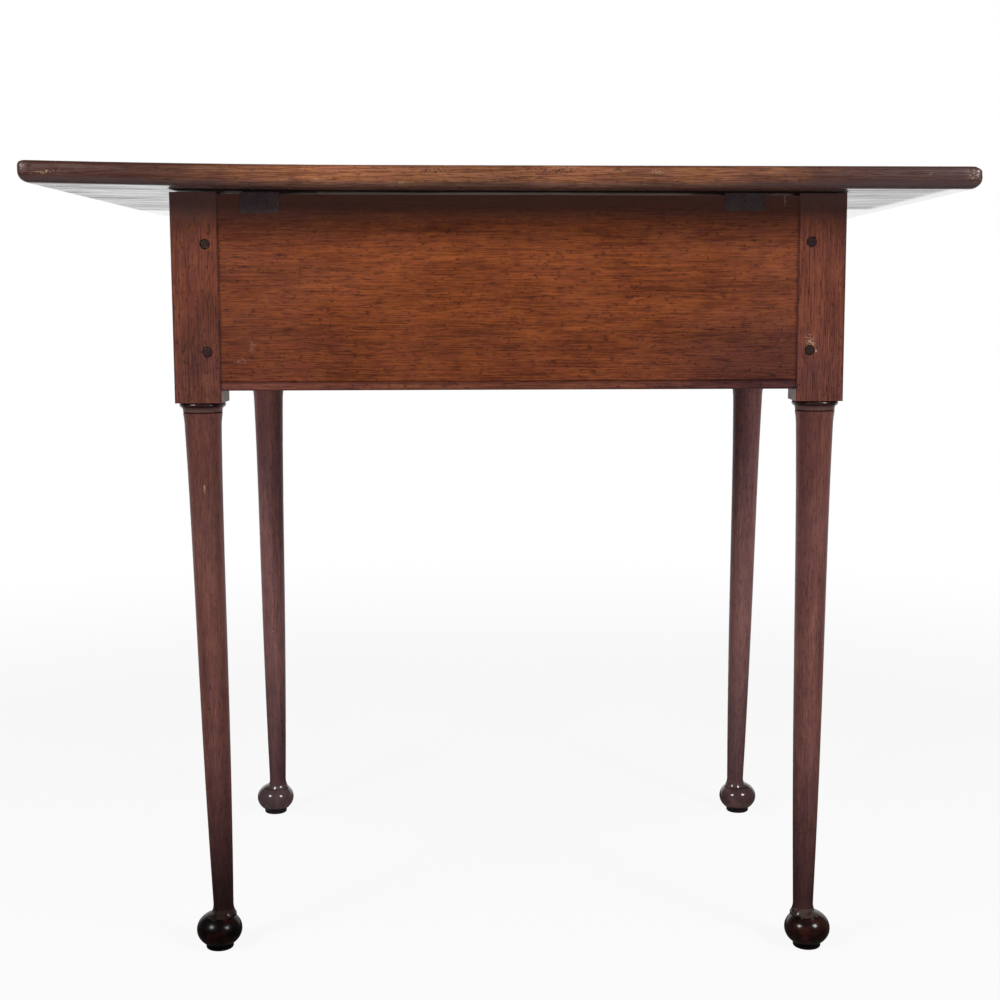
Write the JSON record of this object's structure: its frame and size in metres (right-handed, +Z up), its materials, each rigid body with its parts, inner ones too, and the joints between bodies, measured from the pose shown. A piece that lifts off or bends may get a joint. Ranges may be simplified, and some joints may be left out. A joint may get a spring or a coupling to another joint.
{
  "type": "tavern table",
  "caption": "Small walnut tavern table: an overhanging plank top on deep pegged aprons and tapered, offset-turned legs with ball feet.",
  "frame": {"origin": "on the floor, below the middle of the top", "axes": "+Z up, +X along the top's width to the right, +Y to the rear, so the front faces -Y"},
  "size_m": [0.8018, 0.57, 0.716],
  "materials": {
    "top_walnut": "worn wax",
    "apron_walnut": "worn wax",
    "leg_walnut": "dark wax polish",
    "peg_wood": "dark end grain",
    "batten_wood": "unfinished, dirty",
    "screw_iron": "hand-filed iron"
  },
  "bodies": {
    "root": {"top_front_board": "top_walnut", "top_rear_board": "top_walnut", "front_apron": "apron_walnut", "rear_apron": "apron_walnut", "left_apron": "apron_walnut", "right_apron": "apron_walnut", "front_left_leg": "leg_walnut", "front_right_leg": "leg_walnut", "rear_left_leg": "leg_walnut", "rear_right_leg": "leg_walnut", "front_apron_left_upper_peg": "peg_wood", "front_apron_left_lower_peg": "peg_wood", "front_apron_right_upper_peg": "peg_wood", "front_apron_right_lower_peg": "peg_wood", "rear_apron_left_upper_peg": "peg_wood", "rear_apron_left_lower_peg": "peg_wood", "rear_apron_right_upper_peg": "peg_wood", "rear_apron_right_lower_peg": "peg_wood", "left_apron_front_upper_peg": "peg_wood", "left_apron_front_lower_peg": "peg_wood", "left_apron_rear_upper_peg": "peg_wood", "left_apron_rear_lower_peg": "peg_wood", "right_apron_front_upper_peg": "peg_wood", "right_apron_front_lower_peg": "peg_wood", "right_apron_rear_upper_peg": "peg_wood", "right_apron_rear_lower_peg": "peg_wood", "left_batten": "batten_wood", "right_batten": "batten_wood", "left_batten_screw_1": "screw_iron", "left_batten_screw_2": "screw_iron", "left_batten_screw_3": "screw_iron", "left_batten_screw_4": "screw_iron", "right_batten_screw_1": "screw_iron", "right_batten_screw_2": "screw_iron", "right_batten_screw_3": "screw_iron", "right_batten_screw_4": "screw_iron"}
  },
  "joints": []
}
